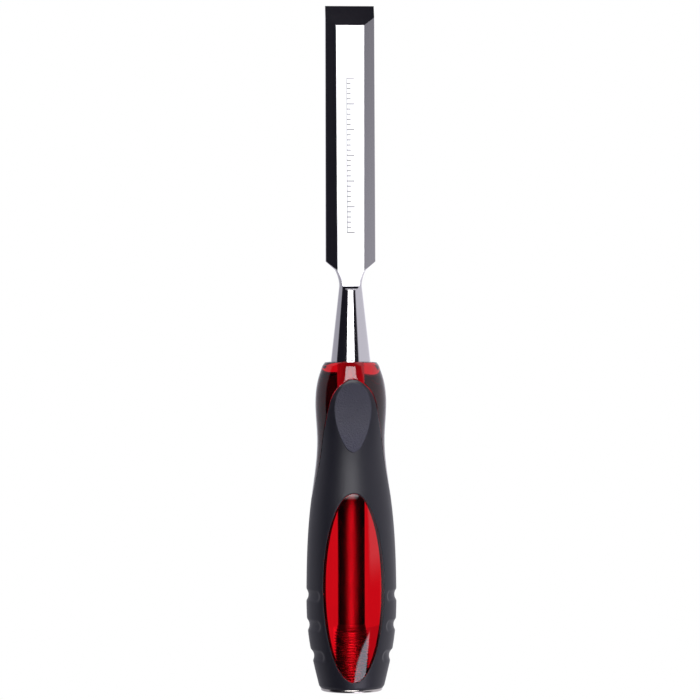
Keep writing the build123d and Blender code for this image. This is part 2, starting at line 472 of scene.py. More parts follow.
def spaced(start, end, radius, inner, near_start, near_end):
    """Angles from start to end, closer together near the ends that carry an edge."""
    length = (end - start) * radius
    scale = min(1.0, length / 4.0)
    low = EDGE_STEPS[-1] * scale if near_start else 0.0
    high = length - (EDGE_STEPS[-1] * scale if near_end else 0.0)
    offsets = [EDGE_STEPS[:-1] * scale] if near_start else []
    offsets.append(np.linspace(low, high, inner))
    if near_end:
        offsets.append(length - EDGE_STEPS[-2::-1] * scale)
    return start + np.concatenate(offsets) / radius


def soft_grip_mesh(sizes):
    """The moulded grip: its outside, its inside against the core and the walls between."""
    shape = HandleShape(sizes, 0.0)
    heights = shape.rows(0.42)
    outside, inside = [], []
    for height in heights:
        start, end = shape.ends(height)
        radius = float(handle_radius(height))
        angles = spaced(start, end, radius, GRIP_COLUMNS, True, True)
        radii = shape.cut_radius(angles, height) - shape.rounding(angles, height)
        outside.append(around(radii, angles, height))
        angles = np.linspace(start, end, INNER_COLUMNS)
        inside.append(around(radius - shape.wall, angles, height))
    shell = Shell()
    outer = shell.grid(outside)
    inner = shell.grid(inside, turned=True)
    for i, (low, high) in enumerate(zip(heights, heights[1:])):
        if low >= shape.foot and high <= shape.head:
            shell.strip([outer[i][0], inner[i][0]], [outer[i + 1][0], inner[i + 1][0]])
        if low >= shape.tip:
            shell.strip([outer[i][-1], inner[i][-1]], [outer[i + 1][-1], inner[i + 1][-1]])
    # the foot that stands on the cap
    shell.faces.append(tuple(inner[0] + outer[0][::-1]))
    shell.mirrored(0)
    shell.mirrored(1)
    return shell.mesh("soft_grip_moulded")


def core_mesh(sizes):
    """The clear core, raised in the windows, on the flanks and at the top."""
    shape = HandleShape(sizes, WALL_OVERLAP)
    sunk = shape.wall - HIDDEN_OVERLAP
    # each row says if the window and the flank are bare and if the grip is there; a row where
    # one of these changes comes twice, with what is below it and with what is above it
    lattice = []
    for height in shape.rows(0.6):
        window_open = shape.foot <= height <= shape.head
        flank_open = height >= shape.tip
        states = [(window_open, flank_open, True)]
        if height == shape.foot:
            states = [(False, flank_open, True), (True, flank_open, True)]
        elif height == shape.head:
            states = [(True, flank_open, True), (False, flank_open, True)]
        elif height == shape.tip:
            states = [(window_open, False, True), (window_open, True, True)]
        elif height == shape.apex:
            states = [(False, True, True), (False, True, False)]
        lattice += [(height, *state) for state in states]
    rows = []
    for height, window_open, flank_open, gripped in lattice:
        start, end = shape.ends(height)
        radius = float(handle_radius(height))
        if not window_open:
            start = 0.0
        if not gripped:
            end = 0.0
        parts = (
            (spaced(0, start, radius, 16, False, True), window_open or not gripped),
            (np.linspace(start, end, INNER_COLUMNS), not gripped),
            (spaced(end, math.pi / 2, radius, 22, True, False), flank_open),
        )
        row = []
        for angles, shown in parts:
            radii = np.full(len(angles), radius - sunk)
            if shown:
                radii = radius - shape.rounding(angles, height)
            row += around(radii, angles, height)
        rows.append(row)
    # the bare top, the dome and the foot
    spread = spaced(0, math.pi / 2, 12.5, 22, True, False)
    top_angles = np.concatenate((np.zeros(len(rows[-1]) - len(spread)), spread))
    sides = [(float(handle_radius(h)), h) for h in np.arange(shape.apex + 0.1, RIM[1] - 0.3, 0.3)]
    dome = []
    for radius in np.linspace(TOP_EDGE[0], 0, 14):
        share = radius / TOP_EDGE[0]
        fall = 4 * TOP_SAG * share * (1 - share) + (TOP[1] - TOP_EDGE[1]) * share * (2 * share - 1)
        dome.append((radius, TOP[1] - fall))
    line = rounded_line([sides[-1], RIM, dome[0], dome[1]], 0.25)
    for radius, height in sides[:-1] + [tuple(p) for p in line] + dome[2:]:
        drop = shape.rounding(top_angles, height) if height < RIM[1] else 0.0
        rows.append(around(radius - drop, top_angles, height))
    foot = [around(radius, top_angles, BUTT[1] - 0.2) for radius in (0.0, BUTT[0] - sunk)]
    shell = Shell()
    shell.grid(foot + rows)
    shell.mirrored(0)
    shell.mirrored(1)
    return shell.mesh("clear_core_moulded")


# ---------------------------------------------------------------- shape of the steel
def tapered(sizes, height):
    """A blade size at a height, along its straight taper from the edge to the heel."""
    share = (height - HEEL_HEIGHT) / (EDGE_HEIGHT - HEEL_HEIGHT)
    return sizes[1] + (sizes[0] - sizes[1]) * share


def turned_radius(height):
    """Radius of the turned neck, bolster and tang, and of the flare that trims the heel."""
    if height > FLARE_TOP[1]:
        slope = (BLADE_WIDTHS[1] / 2 - FLARE_TOP[0]) / (HEEL_HEIGHT - FLARE_TOP[1])
        return FLARE_TOP[0] + (height - FLARE_TOP[1]) * slope
    if height > NECK[1]:
        share = (height - NECK[1]) / (FLARE_TOP[1] - NECK[1])
        return NECK[0] + (FLARE_TOP[0] - NECK[0]) * share**2
    if height >= BOLSTER[1]:
        share = (height - BOLSTER[1]) / (NECK[1] - BOLSTER[1])
        return BOLSTER[0] + (NECK[0] - BOLSTER[0]) * share
    return TANG_RADIUS


def blade_corners(height):
    """Right half of the section: y of the front, its two corners, the side and y of the back."""
    reach = turned_radius(height)
    level = max(height, FLATS_START)
    run_out = 0.0
    if height < FLATS_START:
        sunk = min(FLATS_START - height, RUN_OUT_RADIUS)
        run_out = RUN_OUT_RADIUS - math.sqrt(RUN_OUT_RADIUS**2 - sunk**2)
    half = tapered(BLADE_WIDTHS, level) / 2
    flat = tapered(FLAT_WIDTHS, level) / 2
    front = BACK - tapered(THICKNESSES, level)
    side = BACK - tapered(SIDE_LANDS, level)
    slope = (side - front) / (half - flat)
    ground = BACK - (EDGE_HEIGHT - height) * math.tan(GRIND_ANGLE)
    front_y = max(front - run_out, ground, -reach)
    back_y = min(BACK + run_out, reach)
    if height < FLATS_START - RUN_OUT_RADIUS:
        front_y, back_y = -reach, reach
        half = reach
    across = math.sqrt(max(reach**2 - front_y**2, 0))
    first = min(flat + (front_y - front) / slope if run_out == 0 else across, across, half)
    first = max(first, 0.0)
    # the side bevel runs from the first corner until it meets the side or the turned flare
    steps = np.linspace(first, half, 400)
    drop = front_y + (steps - first) * slope
    within = steps**2 + drop**2 <= reach**2 + 1e-9
    last = len(steps) - 1 if within.all() else max(int(np.argmin(within)) - 1, 0)
    if run_out > 0 or front_y >= side:
        last = 0
    second = (steps[last], drop[last])
    back_x = min(half, math.sqrt(max(reach**2 - back_y**2, 0)))
    return (first, front_y), second, (back_x, back_y), half, reach


FRONT_POINTS = 7                # points across each face of the blade's half section
BEVEL_POINTS = 5
SIDE_POINTS = 43
BACK_POINTS = 9
TINY = 1e-6                     # a length too short to have a direction


def blade_row(height, brk):
    """Points of the right half of one section, from the middle of the front to the back's."""
    first, second, third, half, reach = blade_corners(height)
    # the freshly ground cutting bevel has crisp edges
    ground_length = THICKNESSES[0] / math.tan(GRIND_ANGLE)
    front_brk = brk if height < EDGE_HEIGHT - ground_length - 0.1 else 0.0

    def run(a, b, count, trim_a, trim_b):
        a, b = np.array(a, float), np.array(b, float)
        length = np.linalg.norm(b - a)
        if length < TINY:
            return [a.copy() for _ in range(count)]
        step = (b - a) / length
        low = a + step * min(trim_a, length / 3)
        high = b - step * min(trim_b, length / 3)
        return [low + (high - low) * t for t in np.linspace(0, 1, count)]

    front = run((0, first[1]), first, FRONT_POINTS, 0, front_brk if first[0] > 3 * brk else 0)
    bevel = [np.array(first)] * BEVEL_POINTS
    if math.dist(first, second) > TINY:
        bevel = run(first, second, BEVEL_POINTS, front_brk, brk)
    angle_a = math.atan2(second[0], -second[1])
    angle_b = math.atan2(third[0], -third[1])
    side = []
    span = (angle_b - angle_a) * max(half, TINY)
    trim = min(brk, span / 3) / max(half, TINY) if third[0] > 3 * brk else 0
    for angle in np.linspace(angle_a + trim, angle_b - trim, SIDE_POINTS):
        distance = reach
        if math.sin(angle) > TINY:
            distance = min(reach, half / math.sin(angle))
        side.append(np.array((distance * math.sin(angle), -distance * math.cos(angle))))
    back = run(third, (0, third[1]), BACK_POINTS, brk if third[0] > 3 * brk else 0, 0)
    return [np.array((p[0], p[1], height)) for p in front + bevel + side + back]


def blade_mesh(sizes):
    """The blade, forged in one with its neck, bolster cone and tang."""
    brk = sizes.edge_break / MM
    corner_a = EDGE_HEIGHT - THICKNESSES[0] / math.tan(GRIND_ANGLE)
    corner_b = EDGE_HEIGHT - SIDE_LANDS[0] / math.tan(GRIND_ANGLE)
    heights = [EDGE_HEIGHT - 0.03, EDGE_HEIGHT - 0.3]
    heights += list(np.linspace(EDGE_HEIGHT - 1, corner_b, 5)) + [corner_b - 0.15]
    heights += list(np.linspace(corner_b - 0.6, corner_a + 0.15, 6)) + [corner_a, corner_a - 0.2]
    heights += list(np.linspace(corner_a - 3, 168.5, 34))
    heights += list(np.arange(168, 163.75, -0.16)) + list(np.arange(163.7, 159, -0.22))
    heights += list(np.arange(159, 154.8, -0.07)) + list(np.arange(154.6, 128.4, -1.2))
    heights += [128.2, BOLSTER[1] + brk]
    rows = [blade_row(height, brk) for height in heights]
    # the bolster's underside and the tang, in the same columns
    turns = [math.atan2(p[0], -p[1]) for p in rows[-1]]
    profile = [(BOLSTER[0] - brk * 0.8, BOLSTER[1]), (TANG_RADIUS + 0.3, BOLSTER[1])]
    profile += [(TANG_RADIUS, BOLSTER[1] - 0.3)]
    profile += [(TANG_RADIUS, h) for h in np.linspace(120, TANG_FOOT, 12)] + [(0.0, TANG_FOOT)]
    rows += [around(radius, np.array(turns), height) for radius, height in profile]
    edge = [np.array((p[0], p[1], EDGE_HEIGHT)) for p in rows[0]]
    shell = Shell()
    shell.faces.append(tuple(shell.grid([edge] + rows)[0][::-1]))
    shell.mirrored(0)
    return shell.mesh("blade_forged", sharp_angle=math.radians(7))


def cap_mesh(sizes):
    """The turned striking cap, with its boss up into the core."""
    radius = sizes.cap_radius / MM
    rim = sizes.cap_rim / MM
    bend = sizes.cap_round / MM
    profile = [(0.0, 0.0)] + [(r, 0.0) for r in np.linspace(0.6, radius - bend, 16)]
    for angle in np.linspace(0, math.pi / 2, 9)[1:]:
        turn = (radius - bend + bend * math.sin(angle), bend - bend * math.cos(angle))
        profile.append(turn)
    profile += [(radius, rim - 0.12), (radius - 0.03, rim - 0.05), (radius - 0.12, rim)]
    profile += [(8.15, rim), (8.0, rim + 0.15), (8.0, 3.05), (7.85, 3.2), (4.7, 3.2), (0.0, 3.2)]
    return lathe(profile, 144).mesh("striking_cap_turned", sharp_angle=math.radians(30))


class TreeMaker:
    """Short calls for putting nodes in a tree and joining them."""

    def __init__(self, tree):
        self.tree = tree

    def node(self, kind, values=(), **settings):
        made = self.tree.nodes.new(kind)
        for key, value in settings.items():
            setattr(made, key, value)
        for key, value in dict(values).items():
            self.feed(made.inputs[key], value)
        return made

    def feed(self, socket, value):
        if isinstance(value, bpy.types.NodeSocket):
            self.tree.links.new(value, socket)
        else:
            socket.default_value = value

    def math(self, operation, *values, clamp=False):
        made = self.node("ShaderNodeMath", operation=operation, use_clamp=clamp)
        for socket, value in zip(made.inputs, values):
            self.feed(socket, value)
        return made.outputs[0]


def thread_tree():
    """Geometry Nodes: a bar with a helical thread that tapers up to a plain end."""
    tree = bpy.data.node_groups.new("threaded_stud", "GeometryNodeTree")
    face = tree.interface
    defaults = {
        "Turns": ("NodeSocketInt", 20),
        "Foot": ("NodeSocketFloat", 0.0008),
        "Lead": ("NodeSocketFloat", 0.0225),
        "Head": ("NodeSocketFloat", 0.0265),
        "Crest radius": ("NodeSocketFloat", 0.0046),
        "Root radius": ("NodeSocketFloat", 0.00395),
        "End radius": ("NodeSocketFloat", 0.00355),
        "Columns": ("NodeSocketInt", 56),
    }
    for name, (kind, value) in defaults.items():
        face.new_socket(name, in_out="INPUT", socket_type=kind).default_value = value
    face.new_socket("Material", in_out="INPUT", socket_type="NodeSocketMaterial")
    face.new_socket("Geometry", in_out="OUTPUT", socket_type="NodeSocketGeometry")
    make = TreeMaker(tree)
    given = make.node("NodeGroupInput").outputs
    pitch = make.math("DIVIDE", make.math("SUBTRACT", given["Lead"], given["Foot"]), given["Turns"])
    span = make.math("SUBTRACT", given["Head"], given["Foot"])
    lines = make.math("ADD", make.math("CEIL", make.math("DIVIDE", span, pitch)), 1.0)
    rows = make.math("ADD", make.math("MULTIPLY", lines, 4.0), 1.0)
    grid = make.node(
        "GeometryNodeMeshGrid",
        {"Size X": 1.0, "Size Y": lines, "Vertices X": given["Columns"], "Vertices Y": rows},
    )
    place = make.node("GeometryNodeInputPosition").outputs[0]
    place = make.node("ShaderNodeSeparateXYZ", {"Vector": place}).outputs
    turn = make.math("ADD", place["X"], 0.5)
    line = make.math("SUBTRACT", make.math("ADD", place["Y"], make.math("DIVIDE", lines, 2.0)), 1.0)
    rise = make.math("ADD", line, turn)
    height = make.math("ADD", given["Foot"], make.math("MULTIPLY", rise, pitch))
    low = make.math("MAXIMUM", height, given["Foot"])
    held = make.math("MINIMUM", low, given["Head"])
    # flat root, flank, flat crest, flank over each line of the thread
    phase = make.math("FRACT", make.math("ADD", line, 2.001))
    wave = make.math("ABSOLUTE", make.math("SUBTRACT", phase, 0.5))
    crest = make.math("SUBTRACT", 1.25, make.math("MULTIPLY", wave, 3.0), clamp=True)
    depth = make.math("SUBTRACT", given["Crest radius"], given["Root radius"])
    radius = make.math("ADD", given["Root radius"], make.math("MULTIPLY", crest, depth))
    past = make.math("SUBTRACT", held, given["Lead"])
    lead = make.math("SUBTRACT", given["Head"], given["Lead"])
    taper = make.math("DIVIDE", past, lead, clamp=True)
    fall = make.math("MULTIPLY", taper, make.math("SUBTRACT", radius, given["End radius"]))
    radius = make.math("SUBTRACT", radius, fall)
    # the rows past each end close it with a disc
    over_foot = make.math("GREATER_THAN", height, make.math("SUBTRACT", given["Foot"], 1e-7))
    under_head = make.math("LESS_THAN", height, make.math("ADD", given["Head"], 1e-7))
    radius = make.math("MULTIPLY", radius, make.math("MULTIPLY", over_foot, under_head))
    angle = make.math("MULTIPLY", turn, 2 * math.pi)
    x = make.math("MULTIPLY", radius, make.math("COSINE", angle))
    y = make.math("MULTIPLY", radius, make.math("SINE", angle))
    joined = make.node("ShaderNodeCombineXYZ", {"X": x, "Y": y, "Z": held}).outputs[0]
    moved = make.node("GeometryNodeSetPosition", {"Geometry": grid.outputs[0], "Position": joined})
    merged = make.node(
        "GeometryNodeMergeByDistance", {"Geometry": moved.outputs[0], "Distance": 2e-6}
    )
    real = make.node("GeometryNodeRealizeInstances", {"Geometry": merged.outputs[0]})
    dressed = make.node(
        "GeometryNodeSetMaterial", {"Geometry": real.outputs[0], "Material": given["Material"]}
    )
    out = make.node("NodeGroupOutput")
    make.feed(out.inputs["Geometry"], dressed.outputs[0])
    return tree


def stud_mesh(sizes, material):
    """The stud: its thread is made by the geometry tree, then kept as a plain mesh."""
    seed = bpy.data.objects.new("stud_seed", bpy.data.meshes.new("stud_seed"))
    bpy.context.scene.collection.objects.link(seed)
    modifier = seed.modifiers.new("thread", "NODES")
    modifier.node_group = thread_tree()
    values = {
        "Turns": sizes.thread_turns,
        "Lead": sizes.thread_lead,
        "Crest radius": sizes.thread_crest,
        "Root radius": sizes.thread_root,
        "End radius": TANG_RADIUS * MM,
        "Head": TANG_FOOT * MM,
        "Material": material,
    }
    for item in modifier.node_group.interface.items_tree:
        if item.in_out == "INPUT" and item.name in values:
            modifier[item.identifier] = values[item.name]
    bpy.context.view_layer.update()
    evaluated = seed.evaluated_get(bpy.context.evaluated_depsgraph_get())
    mesh = bpy.data.meshes.new_from_object(evaluated)
    bpy.data.objects.remove(seed)
    built = bmesh.new()
    built.from_mesh(mesh)
    bmesh.ops.dissolve_degenerate(built, edges=built.edges, dist=1e-6)
    shade(built, math.radians(25))
    built.to_mesh(mesh)
    built.free()
    mesh.name = "stud_threaded"
    return mesh


# ---------------------------------------------------------------- finishes
# places on the object where its finish changes, in metres
SCALE_FOOT = 0.178              # the etched scale on the blade
SCALE_STEP = 0.002
SCALE_LENGTH = 0.0603
SCALE_RAIL = 0.0014             # left of the middle
SATIN_AND_SHEEN_FOOT = 0.1572             # where the front flat's satin grind ends in the neck
SCOOP_FOOT = 0.088              # where the moulded texture starts


def group_tree(name, inputs, outputs):
    """An empty shader node group with named sockets, and the maker for its nodes."""
    tree = bpy.data.node_groups.new(name, "ShaderNodeTree")
    for label, (kind, value) in inputs.items():
        socket = tree.interface.new_socket(label, in_out="INPUT", socket_type=kind)
        if value is not None:
            socket.default_value = value
    for label, kind in outputs.items():
        tree.interface.new_socket(label, in_out="OUTPUT", socket_type=kind)
    make = TreeMaker(tree)
    return make, make.node("NodeGroupInput").outputs, make.node("NodeGroupOutput").inputs


def surface_grain_group():
    """Uneven gloss and fine relief, from two sizes of noise."""
    inputs = {
        "Vector": ("NodeSocketVector", None),
        "Fine scale": ("NodeSocketFloat", 2000.0),
        "Broad scale": ("NodeSocketFloat", 90.0),
        "Roughness": ("NodeSocketFloat", 0.3),
        "Spread": ("NodeSocketFloat", 0.05),
    }
    outputs = dict.fromkeys(("Roughness", "Relief", "Broad"), "NodeSocketFloat")
    make, given, out = group_tree("surface_grain", inputs, outputs)
    fine = make.node(
        "ShaderNodeTexNoise",
        {"Vector": given["Vector"], "Scale": given["Fine scale"], "Detail": 3.0, "Roughness": 0.6},
    ).outputs["Fac"]
    broad = make.node(
        "ShaderNodeTexNoise",
        {"Vector": given["Vector"], "Scale": given["Broad scale"], "Detail": 4.0},
    ).outputs["Fac"]
    mixed = make.math("ADD", make.math("MULTIPLY", fine, 0.4), make.math("MULTIPLY", broad, 0.6))
    swing = make.math("MULTIPLY", make.math("SUBTRACT", mixed, 0.5), given["Spread"])
    level = make.math("ADD", given["Roughness"], make.math("MULTIPLY", swing, 4.0), clamp=True)
    make.feed(out["Roughness"], level)
    make.feed(out["Relief"], fine)
    make.feed(out["Broad"], broad)
    return make.tree


def hairlines_group():
    """Fine parallel polishing lines, with a few deeper ones; the lines run along Z."""
    inputs = {
        "Vector": ("NodeSocketVector", None),
        "Stretch": ("NodeSocketVector", (9000.0, 9000.0, 60.0)),
        "Share": ("NodeSocketFloat", 0.35),
    }
    make, given, out = group_tree(
        "hairlines", inputs, {"Lines": "NodeSocketFloat", "Marks": "NodeSocketFloat"}
    )
    scaled = make.node(
        "ShaderNodeVectorMath", {0: given["Vector"], 1: given["Stretch"]}, operation="MULTIPLY"
    ).outputs[0]
    lines = make.node("ShaderNodeTexNoise", {"Vector": scaled, "Scale": 1.0, "Detail": 2.0})
    rare = make.node("ShaderNodeTexNoise", {"Vector": scaled, "Scale": 0.37, "Detail": 5.0})
    low = make.math("SUBTRACT", 0.85, make.math("MULTIPLY", given["Share"], 0.4))
    marks = make.node(
        "ShaderNodeMapRange", {"Value": rare.outputs["Fac"], "From Min": low, "From Max": 0.85}
    )
    make.feed(out["Lines"], lines.outputs["Fac"])
    make.feed(out["Marks"], marks.outputs[0])
    return make.tree


class Finish:
    """A material being made: its Principled shader, Object coordinates and node maker."""

    groups = {}

    def __init__(self, name, **values):
        self.material = bpy.data.materials.new(name)
        self.material.use_nodes = True
        tree = self.material.node_tree
        self.make = TreeMaker(tree)
        self.shader = tree.nodes["Principled BSDF"]
        for label, value in values.items():
            self.shader.inputs[label.replace("_", " ")].default_value = value
        self.place = self.make.node("ShaderNodeTexCoord").outputs["Object"]
        parts = self.make.node("ShaderNodeSeparateXYZ", {"Vector": self.place}).outputs
        self.x, self.y, self.z = parts["X"], parts["Y"], parts["Z"]

    def group(self, name, builder, **values):
        if name not in Finish.groups:
            Finish.groups[name] = builder()
        node = self.make.node("ShaderNodeGroup")
        node.node_tree = Finish.groups[name]
        for label, value in values.items():
            self.make.feed(node.inputs[label.replace("_", " ")], value)
        return node.outputs

    def grain(self, **values):
        return self.group("surface_grain", surface_grain_group, Vector=self.place, **values)

    def hairlines(self, **values):
        return self.group("hairlines", hairlines_group, Vector=self.place, **values)

    def mix(self, share, first, second):
        node = self.make.node("ShaderNodeMix", data_type="RGBA")
        sockets = node.inputs[0], node.inputs[6], node.inputs[7]
        for socket, value in zip(sockets, (share, first, second)):
            self.make.feed(socket, value)
        return node.outputs[2]

    def ramp(self, value, low, high):
        """Zero at low and one at high, with a smooth change between."""
        return self.make.node(
            "ShaderNodeMapRange",
            {"Value": value, "From Min": low, "From Max": high},
            interpolation_type="SMOOTHSTEP",
        ).outputs[0]

    def bump(self, height, distance, strength, under=None):
        values = {"Height": height, "Distance": distance, "Strength": strength}
        if under is not None:
            values["Normal"] = under
        return self.make.node("ShaderNodeBump", values).outputs[0]

    def set(self, **sockets):
        """Feeds the shader's sockets and returns the material."""
        for label, value in sockets.items():
            self.make.feed(self.shader.inputs[label.replace("_", " ")], value)
        return self.material


def with_alpha(colour, scale=1.0):
    """A colour made lighter or darker, with the alpha that a socket wants."""
    return tuple(c * scale for c in colour) + (1.0,)


def depth_scale_mask(finish):
    """A plain etched scale of cross lines up the middle of the blade's front flat."""
    make = finish.make
    rise = make.math("SUBTRACT", finish.z, SCALE_FOOT)
    step = make.math("FRACT", make.math("DIVIDE", rise, SCALE_STEP))
    # every fifth line is long
    fives = make.math("ADD", make.math("DIVIDE", rise, 5 * SCALE_STEP), 0.02)
    is_long = make.math("LESS_THAN", make.math("FRACT", fives), 0.2)
    reach = make.math("ADD", 0.0001, make.math("MULTIPLY", is_long, 0.0014))
    line = make.math("LESS_THAN", make.math("ABSOLUTE", make.math("SUBTRACT", step, 0.1)), 0.1)
    inside = make.math("LESS_THAN", finish.x, reach)
    inside = make.math("MULTIPLY", inside, make.math("GREATER_THAN", finish.x, -0.0015))
    ticks = make.math("MULTIPLY", line, inside)
    off_rail = make.math("ABSOLUTE", make.math("ADD", finish.x, SCALE_RAIL))
    rail = make.math("LESS_THAN", off_rail, 0.00012)
    mask = make.math("MAXIMUM", ticks, rail)
    mask = make.math("MULTIPLY", mask, make.math("GREATER_THAN", rise, 0.0))
    mask = make.math("MULTIPLY", mask, make.math("LESS_THAN", rise, SCALE_LENGTH))
    return make.math("MULTIPLY", mask, make.math("LESS_THAN", finish.y, 0.0))


def front_flat_mask(finish):
    """The front flat and its tongue in the neck, which keep a satin grind and are given a painted
    sheen.
    """
    make = finish.make
    slope = (THICKNESSES[0] - THICKNESSES[1]) / (EDGE_HEIGHT - HEEL_HEIGHT)
    plane = (BACK - THICKNESSES[1]) * MM + slope * HEEL_HEIGHT * MM
    plane = make.math("SUBTRACT", plane, make.math("MULTIPLY", finish.z, slope))
    above = make.math("SUBTRACT", finish.y, plane)
    on_plane = make.math("LESS_THAN", above, 0.00003)
    return make.math("MULTIPLY", on_plane, make.math("GREATER_THAN", finish.z, SATIN_AND_SHEEN_FOOT))


def blade_steel(colours):
    finish = Finish("blade_steel", Metallic=1.0)
    satin_and_painted_sheen = front_flat_mask(finish)
    grain = finish.grain(Fine_scale=5200.0, Broad_scale=60.0, Roughness=0.1, Spread=0.016)
    lines = finish.hairlines(Stretch=(7000.0, 7000.0, 45.0), Share=0.3)
    etched = depth_scale_mask(finish)
    clean = finish.mix(
        finish.make.math("MULTIPLY", grain["Broad"], 0.1),
        with_alpha(colours.steel),
        with_alpha(colours.steel, 0.82),
    )
    # painted sheen: the front flat gets a lighter steel colour so it shows brighter, as the face
    # that catches the light; its added roughness below is the real satin grind
    clean = finish.mix(satin_and_painted_sheen, clean, (0.9, 0.9, 0.91, 1))
    colour = finish.mix(finish.make.math("MULTIPLY", etched, 0.75), clean, (0.07, 0.07, 0.075, 1))
    rough = finish.make.math("ADD", grain["Roughness"], finish.make.math("MULTIPLY", etched, 0.3))
    rough = finish.make.math("ADD", rough, finish.make.math("MULTIPLY", lines["Marks"], 0.05))
    rough = finish.make.math("ADD", rough, finish.make.math("MULTIPLY", satin_and_painted_sheen, 0.36))
    # the tang keeps its rough turned skin inside the handle
    tang = finish.ramp(finish.z, 0.1278, 0.1274)
    rough = finish.make.math("ADD", rough, finish.make.math("MULTIPLY", tang, 0.3))
    rings = finish.hairlines(Stretch=(500.0, 500.0, 4200.0), Share=0.3)["Lines"]
    turned = finish.bump(finish.make.math("MULTIPLY", rings, tang), 0.00012, 0.8)
    normal = finish.bump(lines["Lines"], 0.000002, 0.12, turned)
    return finish.set(Base_Color=colour, Roughness=rough, Normal=normal)


def cap_steel(colours):
    finish = Finish("cap_steel", Metallic=1.0)
    make = finish.make
    grain = finish.grain(Fine_scale=3500.0, Broad_scale=220.0, Roughness=0.2, Spread=0.04)
    squares = make.math("ADD", make.math("POWER", finish.x, 2.0), make.math("POWER", finish.y, 2.0))
    rings = make.math("SINE", make.math("MULTIPLY", make.math("SQRT", squares), 24000.0))
    rings = make.math("ADD", rings, make.math("MULTIPLY", grain["Relief"], 2.0))
    knocks = finish.ramp(grain["Broad"], 0.6, 0.72)
    colour = finish.mix(
        make.math("MULTIPLY", knocks, 0.35),
        with_alpha(colours.cap_steel),
        with_alpha(colours.cap_steel, 0.6),
    )
    rough = make.math("ADD", grain["Roughness"], make.math("MULTIPLY", knocks, 0.12))
    return finish.set(Base_Color=colour, Roughness=rough, Normal=finish.bump(rings, 0.00001, 0.2))


def stud_steel(colours):
    finish = Finish("stud_steel", Metallic=1.0)
    grain = finish.grain(Fine_scale=4200.0, Broad_scale=300.0, Roughness=0.42, Spread=0.06)
    lines = finish.hairlines(Stretch=(400.0, 400.0, 9000.0), Share=0.4)
    colour = finish.mix(
        finish.make.math("MULTIPLY", grain["Broad"], 0.3),
        with_alpha(colours.stud_steel),
        with_alpha(colours.stud_steel, 0.7),
    )
    normal = finish.bump(lines["Lines"], 0.00001, 0.2)
    return finish.set(Base_Color=colour, Roughness=grain["Roughness"], Normal=normal)


def clear_red_plastic(colours):
    finish = Finish("clear_red_plastic", Metallic=0.0, IOR=1.49, Transmission_Weight=1.0)
    make = finish.make
    grain = finish.grain(Fine_scale=900.0, Broad_scale=35.0, Roughness=0.012, Spread=0.008)
    lines = finish.hairlines(Stretch=(2600.0, 2600.0, 500.0), Share=0.2)
    deep = with_alpha(colours.clear_red, 0.93)
    share = make.math("MULTIPLY", grain["Broad"], 0.4)
    colour = finish.mix(share, with_alpha(colours.clear_red), deep)
    rough = make.math("ADD", grain["Roughness"], make.math("MULTIPLY", lines["Marks"], 0.04))
    normal = finish.bump(grain["Broad"], 0.00004, 0.12)
    return finish.set(Base_Color=colour, Roughness=rough, Normal=normal)


def black_grip(colours):
    finish = Finish("black_grip", Metallic=0.0, IOR=1.5, Specular_IOR_Level=0.5)
    make = finish.make
    # the thumb scoops have a coarser moulded texture than the rest, most of all low down; they are
    # also painted paler below, which is painted light
    depth = make.math("SUBTRACT", (SCOOP_FLOOR + SCOOP_CURVE) * MM, make.math("ABSOLUTE", finish.y))
    level = make.math("SUBTRACT", finish.z, SCOOP_HEIGHT * MM)
    squares = make.math("ADD", make.math("POWER", depth, 2.0), make.math("POWER", level, 2.0))
    off_scoop = make.math("SUBTRACT", make.math("SQRT", squares), SCOOP_CURVE * MM)
    scoop = finish.ramp(make.math("ABSOLUTE", off_scoop), 0.00009, 0.00003)
    scoop = make.math("MULTIPLY", scoop, make.math("GREATER_THAN", finish.z, SCOOP_FOOT))
    low_scoop = make.math("MULTIPLY", scoop, finish.ramp(finish.z, 0.109, 0.094))
    grain = finish.grain(Fine_scale=3600.0, Broad_scale=70.0, Roughness=0.46, Spread=0.05)
    coarse = make.node(
        "ShaderNodeTexNoise",
        {"Vector": finish.place, "Scale": 1500.0, "Detail": 3.0, "Roughness": 0.7},
    ).outputs["Fac"]
    fine = finish.bump(grain["Relief"], 0.00007, 0.45)
    lower = make.math("MULTIPLY", low_scoop, 0.55)
    strength = make.math("ADD", make.math("MULTIPLY", scoop, 0.45), lower)
    normal = finish.bump(make.math("MULTIPLY", coarse, strength), 0.00045, 1.0, fine)
    colour = finish.mix(
        make.math("MULTIPLY", grain["Relief"], 0.6),
        with_alpha(colours.grip_black, 0.7),
        with_alpha(colours.grip_black, 1.4),
    )
    # painted light: the scoops are painted paler, most of all low down, where their floor faces up
    # to the light above
    lower = make.math("MULTIPLY", low_scoop, 0.35)
    pale = make.math("ADD", make.math("MULTIPLY", scoop, 0.45), lower)
    colour_with_painted_scoop_light = finish.mix(pale, colour, with_alpha(colours.grip_black, 4.0))
    rough = make.math("ADD", grain["Roughness"], make.math("MULTIPLY", scoop, 0.06))
    return finish.set(Base_Color=colour_with_painted_scoop_light, Roughness=rough, Normal=normal)


# ---------------------------------------------------------------- stage
CAMERA_TURN = -4.0              # degrees about Z from the front
CAMERA_DISTANCE = 1.2           # metres, as are the height and the step to the side
CAMERA_HEIGHT = 0.1325
CAMERA_LENS = 158.4
CAMERA_ROLL = -0.0029
CAMERA_SIDE = -0.00027


